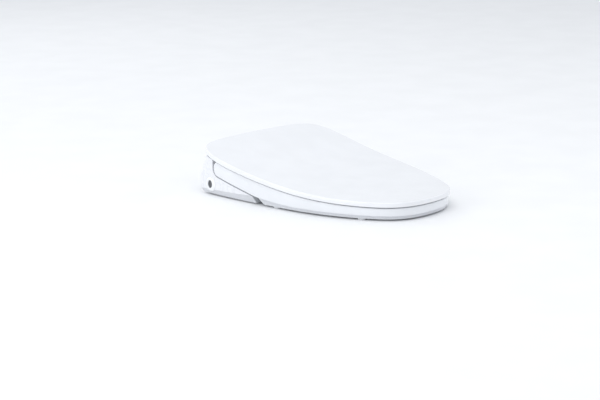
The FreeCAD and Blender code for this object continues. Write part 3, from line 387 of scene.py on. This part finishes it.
def make_lid():
    """A shallow tray with a rounded upper edge, a softly crowned top and a hollow underside."""
    crown, edge, rim, spine_inset = 1.1, 2.2, 1.0, 6

    def toward_spine(inset, depth, shares):
        """Rings from an inset outline to a line along the middle."""
        ring = outline(inset)
        along = (ring[:, 1] - ring[:, 1].min()) / np.ptp(ring[:, 1])
        spine = np.column_stack([np.zeros(len(ring)), (along - 1) * LID_SPINE])
        made = []
        for share in shares:
            part = spine + (ring - spine) * (1 - share)
            rise = crown * (1 - (1 - share) ** 2)
            made.append(lifted(part, lambda y: edge_height(y) - depth + rise))
        return made

    def under(inset, depth):
        return lifted(outline(inset), lambda y: edge_height(y) - depth)

    shares = [0.02, 0.06, 0.14, 0.27, 0.42, 0.58, 0.72, 0.86, 1]
    rings = toward_spine(spine_inset, WALL, shares[::-1])
    rings += [under(WALL + inwards, WALL + down) for inwards, down in quarter(edge)[::-1]]
    rings += [under(WALL, BAND - 0.7), under(WALL - 0.5, BAND - 0.1), under(WALL - 0.9, BAND)]
    rings += [under(inwards, BAND - down) for inwards, down in quarter(rim)[::-1]]
    rings += [under(inwards, down) for inwards, down in quarter(edge, 6)]
    rings += [under(4, 0)] + toward_spine(spine_inset, 0, shares)
    obj = mesh_object("Lid", loft(rings), LID)
    stand_for(obj, "lid", "lid_white", "lid_shell")


# ---- seat ring -------------------------------------------------------------------------------------------

def prism(points, low, high):
    """A closed solid: a YZ polygon between two places along X."""
    return loft([[(x, y, z) for y, z in points] for x in (low, high)], caps=True)


def cut_away(obj, *tools):
    for tool in tools:
        cut = obj.modifiers.new("Cut", "BOOLEAN")
        cut.object = tool
        cut.solver = "EXACT"
    bpy.context.view_layer.update()
    mesh = bpy.data.meshes.new_from_object(obj.evaluated_get(bpy.context.evaluated_depsgraph_get()))
    obj.modifiers.clear()
    obj.data = mesh
    for tool in tools:
        bpy.data.objects.remove(tool)


def make_seat():
    """The seat: a rounded ring with a contoured top, which ends in two arms on the hinge."""
    inset, soft, dip, foot = SEAT_INSET, 2.5, 2.0, 1.2

    def across(first, second, share):
        return first + (second - first) * share

    def top_height(share):
        drop = dip * share ** 2 * (3 - 2 * share)
        return lambda y: seat_top(y) - drop

    edge, lip = outline(inset + soft), hole_ring(HOLE_LIP)
    rings = [lifted(outline(inset + inwards), lambda y, down=down: seat_bottom(y) + down)
             for inwards, down in quarter(foot, 3)[::-1]]
    rings += [lifted(outline(inset + inwards), lambda y, down=down: seat_top(y) - down)
              for inwards, down in quarter(soft, 5)]
    rings += [lifted(across(edge, lip, share), top_height(share)) for share in (0.12, 0.28, 0.46, 0.64, 0.82)]
    rings += [lifted(hole_ring(inwards), lambda y, down=down: seat_top(y) - dip - down)
              for down, inwards in [(HOLE_LIP - b, a) for b, a in quarter(HOLE_LIP, 6)][::-1]]
    rings += [lifted(hole_ring(inwards), lambda y, down=down: seat_bottom(y) + down)
              for inwards, down in quarter(foot, 3)]
    base, hole = outline(inset + foot), hole_ring(foot)
    rings += [lifted(across(hole, base, share), seat_bottom) for share in (0.15, 0.3, 0.5, 0.7, 0.85)]
    obj = mesh_object("SeatRing", loft(rings, closed=True), SEAT)
    room = [(HOUSING_FRONT, -60), (120, -60), (120, FAR_UP), (HOUSING_FRONT, FAR_UP)]
    housing = mesh_object("HousingCut", prism(room, -ARM_INSIDE, ARM_INSIDE), SEAT)
    y, z = SEAT_AXIS.y, SEAT_AXIS.z
    turns = [ARM_SLOPE - math.pi / 2 + (math.pi - ARM_SLOPE) * i / 30 for i in range(31)]
    back = [(y + ARM_RADIUS * math.cos(t), z + ARM_RADIUS * math.sin(t)) for t in turns]
    behind = [*back, (y, FAR_UP), (FAR_UP, FAR_UP), (FAR_UP, FAR_DOWN), (back[0][0], FAR_DOWN)]
    cut_away(obj, housing, mesh_object("ArmCut", prism(behind, -FAR_OUT, FAR_OUT), SEAT))
    bevel_edges(obj, 0.9, 50)
    stand_for(obj, "seat", "seat_white", "seat_shell")


def bevel_edges(obj, width, angle, segments=3):
    """Rounds the corners that are sharper than an angle, in the mesh itself."""
    build = bmesh.new()
    build.from_mesh(obj.data)
    bmesh.ops.remove_doubles(build, verts=build.verts, dist=0.00002)
    bmesh.ops.dissolve_degenerate(build, edges=build.edges, dist=0.00002)
    sharp = [e for e in build.edges if len(e.link_faces) == 2 and e.calc_face_angle() > math.radians(angle)]
    bmesh.ops.bevel(build, geom=sharp, offset=width * MM, offset_type="OFFSET", segments=segments,
                    profile=0.5, affect="EDGES", clamp_overlap=True)
    bmesh.ops.recalc_face_normals(build, faces=build.faces)
    build.to_mesh(obj.data)
    build.free()
    obj.data.shade_smooth()
    obj.data.set_sharp_from_angle(angle=math.radians(40))


# ---- turned and moulded details --------------------------------------------------------------------------

def solids(name):
    """The low and high corners, in millimetres, of each separate solid of a CAD node."""
    build = bmesh.new()
    build.from_mesh(nodes[name].data)
    bmesh.ops.transform(build, matrix=nodes[name].matrix_world, verts=build.verts)
    bmesh.ops.remove_doubles(build, verts=build.verts, dist=0.00001)
    left, boxes = set(build.verts), []
    while left:
        queue = [left.pop()]
        found = list(queue)
        while queue:
            for edge in queue.pop().link_edges:
                for vert in edge.verts:
                    if vert in left:
                        left.remove(vert)
                        queue.append(vert)
                        found.append(vert)
        points = np.array([vert.co for vert in found]) / MM
        boxes.append((points.min(axis=0), points.max(axis=0)))
    build.free()
    return sorted(boxes, key=lambda box: (round(box[0][1]), round(box[0][0])))


# The mounting bolts: thread, plain section under the deck, and the bore of what goes on them.
THREAD_RADIUS, PLAIN_RADIUS, PLAIN_LENGTH, BORE = 3.6, 4.0, 25.5, 3.7
THREAD_DEPTH, THREAD_PITCH, END_CHAMFER, RINGS_PER_PITCH = 0.55, 1.25, 0.3, 6


def round_rings(centre, levels, steps=48):
    """Level rings about an upright axis. levels lists (height, radius)."""
    turns = np.linspace(0, 2 * math.pi, steps, endpoint=False)
    return [[(centre[0] + radius * math.cos(t), centre[1] + radius * math.sin(t), height) for t in turns]
            for height, radius in levels]


def thread_rings(centre, low, high, crest, depth, pitch, steps=32):
    """Rings of a screw thread on an upright axis: a V groove that climbs one pitch in each turn."""
    made = []
    count = int((high - low) / pitch * RINGS_PER_PITCH)
    for k in range(count + 1):
        height = low + (high - low) * k / count
        fade = min(1, (height - low) / pitch, (high - height) / pitch)
        ring = []
        for i in range(steps):
            turn = i / steps
            share = (height / pitch - turn) % 1
            chamfer = END_CHAMFER * (1 - min(1, (height - low) / 0.8))
            radius = crest - depth * fade * (1 - abs(2 * share - 1)) - chamfer
            angle = 2 * math.pi * turn
            ring.append((centre[0] + radius * math.cos(angle), centre[1] + radius * math.sin(angle), height))
        made.append(ring)
    return made


def make_bolts():
    """Two studs: a low domed head, a plain section, and a screw thread with a chamfered end."""
    build = bmesh.new()
    for low, high in solids("mounting_bolts"):
        centre = (low + high) / 2
        head = (high[0] - low[0]) / 2
        top = high[2]
        rings = thread_rings(centre, low[2], -PLAIN_LENGTH, THREAD_RADIUS, THREAD_DEPTH, THREAD_PITCH)
        levels = [(0.3 - PLAIN_LENGTH, PLAIN_RADIUS), (-0.2, PLAIN_RADIUS), (0, THREAD_RADIUS),
                  (top - 1.6, THREAD_RADIUS), (top - 1.6, head - 0.3), (top - 1.3, head), (top - 0.7, head),
                  (top - 0.2, head - 0.6), (top, head - 1.6), (top, 3.2), (top - 0.5, 2.6)]
        rings += round_rings(centre, levels, 32)
        loft(rings, caps=True, build=build)
    stand_for(mesh_object("StudsThreaded", build, STEEL, 50), "base", "steel", "mounting_bolts")


def make_washers():
    """Cone washers of rubber, with two shallow grooves round them."""
    build = bmesh.new()
    tall, narrowing, dip = 8, 5, 0.7
    for low, high in solids("rubber_washers"):
        centre, wide = (low + high) / 2, (high[0] - low[0]) / 2
        base, top = low[2], high[2]

        def side(share):
            return wide - narrowing * share

        levels = [(base, BORE), (base, wide - 1.2), (base + 0.3, wide - 0.4), (base + 0.9, wide - 0.2)]
        for groove in (0.32, 0.62):
            steps = [(groove - 0.08, 0), (groove - 0.03, dip), (groove + 0.03, dip), (groove + 0.08, 0)]
            levels += [(base + tall * share, side(share) - depth) for share, depth in steps]
        levels += [(top - 0.8, side(0.9)), (top - 0.2, side(1) - 0.2), (top, side(1) - 1.0), (top, BORE)]
        loft(round_rings(centre, levels), closed=True, build=build)
    stand_for(mesh_object("ConeWashers", build, DARK_RUBBER), "base", "rubber_dark", "rubber_washers")


def make_wing_nuts():
    """Moulded nuts: a tapered, ribbed barrel whose two ears swell out of it."""
    build = bmesh.new()
    steps, ribs, rib_depth, ear_half = 96, 12, 0.35, 2.4
    for low, high in solids("wing_nuts"):
        centre = (low + high) / 2
        reach, base, top = (high[0] - low[0]) / 2, low[2], high[2]
        levels = [(top, BORE, 0), (top, 9.2, 0), (top - 0.4, 9.8, 0), (top - 1.6, 10, 0), (top - 2.6, 10, 0),
                  (top - 3.4, 10, 0.8), (top - 4.4, 10, 0.97), (top - 8, 9.8, 1), (top - 11.4, 9.6, 0.97),
                  (top - 12.6, 9.4, 0.8), (top - 13.1, 9.3, 0), (base + 0.4, 9.2, 0), (base, 8.6, 0),
                  (base, BORE, 0)]
        rings = []
        for height, barrel, ear in levels:
            ring = []
            for i in range(steps):
                t = 2 * math.pi * i / steps
                ribbed = barrel > 8 and ear == 0
                rib = rib_depth * (1 - abs(math.sin(ribs * t))) if ribbed else 0
                along, beside = max(abs(math.cos(t)), 1e-6), max(abs(math.sin(t)), 1e-6)
                to_ear = min(ear_half / beside, (reach - 1) / along)
                radius = max(barrel - rib, to_ear * ear) if ear else barrel - rib
                ring.append((centre[0] + radius * math.cos(t), centre[1] + radius * math.sin(t), height))
            rings.append(ring)
        loft(rings, closed=True, build=build)
    stand_for(mesh_object("WingNutsMoulded", build, HINGE, 35), "base", "hinge_white", "wing_nuts")


def make_seat_bumpers():
    """Soft feet under the seat: rounded pads with a dimple below, on a thin flange."""
    build = bmesh.new()
    for low, high in solids("seat_bumpers"):
        centre, wide = (low + high) / 2, (high[0] - low[0]) / 2
        base, top = low[2], high[2]
        levels = [(base + 0.5, 1.6), (base + 0.35, 2.6), (base, 3.4), (base, wide - 2.2),
                  (base + 0.2, wide - 1.4), (base + 0.7, wide - 0.8), (base + 1.4, wide - 0.5),
                  (top - 0.9, wide - 0.4), (top - 0.7, wide), (top, wide)]
        loft(round_rings(centre, levels), caps=True, build=build)
    stand_for(mesh_object("SeatBumperPads", build, PALE_RUBBER), "seat", "rubber_pale", "seat_bumpers")


def make_button():
    """The side control: a softly raised round collar with an oval key sunk in it."""
    low, high = box_mm("button_boss")
    y, z = (low.y + high.y) / 2, (low.z + high.z) / 2
    face, wide = low.x, (high.y - low.y) / 2
    turns = np.linspace(0, 2 * math.pi, 72, endpoint=False)

    def ring(depth, across, tall):
        return [(face + depth, y + across * math.cos(t), z + tall * math.sin(t)) for t in turns]

    def circle(depth, inwards):
        return ring(depth, wide - inwards, wide - inwards)

    collar = [circle(3.2, 0), circle(2.2, 0.3), circle(1.3, 1.3), circle(0.6, 2.9), circle(0.15, 4.8),
              circle(0, 6.2), ring(0.1, 7.2, 9.4), ring(0.5, 6.5, 8.8), ring(1.2, 6.3, 8.6),
              ring(2.6, 6.3, 8.6), ring(3.6, 8.5, 10.4), ring(5.0, 10.6, 11.4), circle(8.6, 1.6),
              circle(3.3, 1.6)]
    boss = mesh_object("ControlCollar", loft(collar, closed=True), BOSS)
    stand_for(boss, "unit", "shell_white", "button_boss")
    key = [ring(1.5, 0.4, 0.6), ring(1.45, 1.8, 2.6), ring(1.25, 3.4, 4.9), ring(0.95, 4.5, 6.4),
           ring(0.9, 5.3, 7.4), ring(1.15, 5.8, 8.0), ring(1.7, 6.0, 8.25), ring(3.4, 6.0, 8.25),
           ring(3.4, 5.2, 7.2), ring(9.8, 2.6, 2.6)]
    button = mesh_object("ControlKey", loft(key, caps=True), BUTTON)
    stand_for(button, "button", "button_grey", "side_button")


make_lid()
make_seat()
make_bolts()
make_washers()
make_wing_nuts()
make_seat_bumpers()
make_button()


# ---- floor, light and camera -----------------------------------------------------------------------------

def floor_material():
    """Matt pale ground with a very faint mottle."""
    material, tree, shader, place = new_material("FloorPale")
    mottle = noise(tree, place, 120, 4.0)
    tint = ramp(tree, mottle, (0.90, 0.905, 0.915), (0.92, 0.925, 0.935))
    tree.links.new(tint, shader.inputs["Base Color"])
    tree.links.new(grey_range(tree, mottle, 0.65, 0.8), shader.inputs["Roughness"])
    shader.inputs["Specular IOR Level"].default_value = 0.2
    return material


def make_floor():
    """A level sheet on the rim's plane, large enough to reach the horizon."""
    mesh = bpy.data.meshes.new("Floor")
    sheet = bmesh.new()
    bmesh.ops.create_grid(sheet, x_segments=8, y_segments=8, size=30)
    sheet.to_mesh(mesh)
    sheet.free()
    floor = bpy.data.objects.new("Floor", mesh)
    bpy.context.scene.collection.objects.link(floor)
    finish_with(floor, floor_material())


def make_light(name, place, aim, size, watts):
    """A rectangular soft light that faces a point. Places are in metres."""
    light = bpy.data.lights.new(name, "AREA")
    light.shape = "RECTANGLE"
    light.size, light.size_y = size
    light.energy = watts
    obj = bpy.data.objects.new(name, light)
    bpy.context.scene.collection.objects.link(obj)
    obj.location = place
    obj.rotation_euler = (Vector(aim) - Vector(place)).to_track_quat("-Z", "Y").to_euler()


def make_sky():
    """An even, faintly cool light from all round."""
    world = bpy.data.worlds.new("Studio")
    world.use_nodes = True
    background = world.node_tree.nodes["Background"]
    background.inputs["Color"].default_value = (0.93, 0.96, 1.0, 1)
    background.inputs["Strength"].default_value = 0.80
    bpy.context.scene.world = world


def make_camera():
    """The product picture's view: from the front and the user's right, about 13 degrees above the horizon."""
    look, distance = Vector((0, -0.205, 0.050)), 3.767
    back = Vector((-0.7099, -0.6678, 0.2241)).normalized()
    data = bpy.data.cameras.new("Camera")
    data.lens, data.sensor_width = 103.36, 36
    data.shift_x, data.shift_y = -0.0661, -0.0437
    camera = bpy.data.objects.new("Camera", data)
    bpy.context.scene.collection.objects.link(camera)
    camera.location = look + back * distance
    camera.rotation_euler = (-back).to_track_quat("-Z", "Y").to_euler()
    bpy.context.scene.camera = camera


make_floor()
make_sky()
make_light("Key", (-0.9, -0.9, 2.8), (0, -0.2, 0), (2.4, 2.4), 26)
make_light("Side", (-3.0, 0.5, 1.0), (0, -0.1, 0.03), (2.6, 1.6), 20)
make_light("Fill", (2.4, -1.8, 1.4), (0, -0.2, 0), (2.0, 2.0), 6)
make_light("Back", (0.4, 2.6, 2.2), (0, -0.1, 0), (2.4, 1.6), 13)
make_camera()
bpy.context.scene.view_settings.view_transform = "Standard"
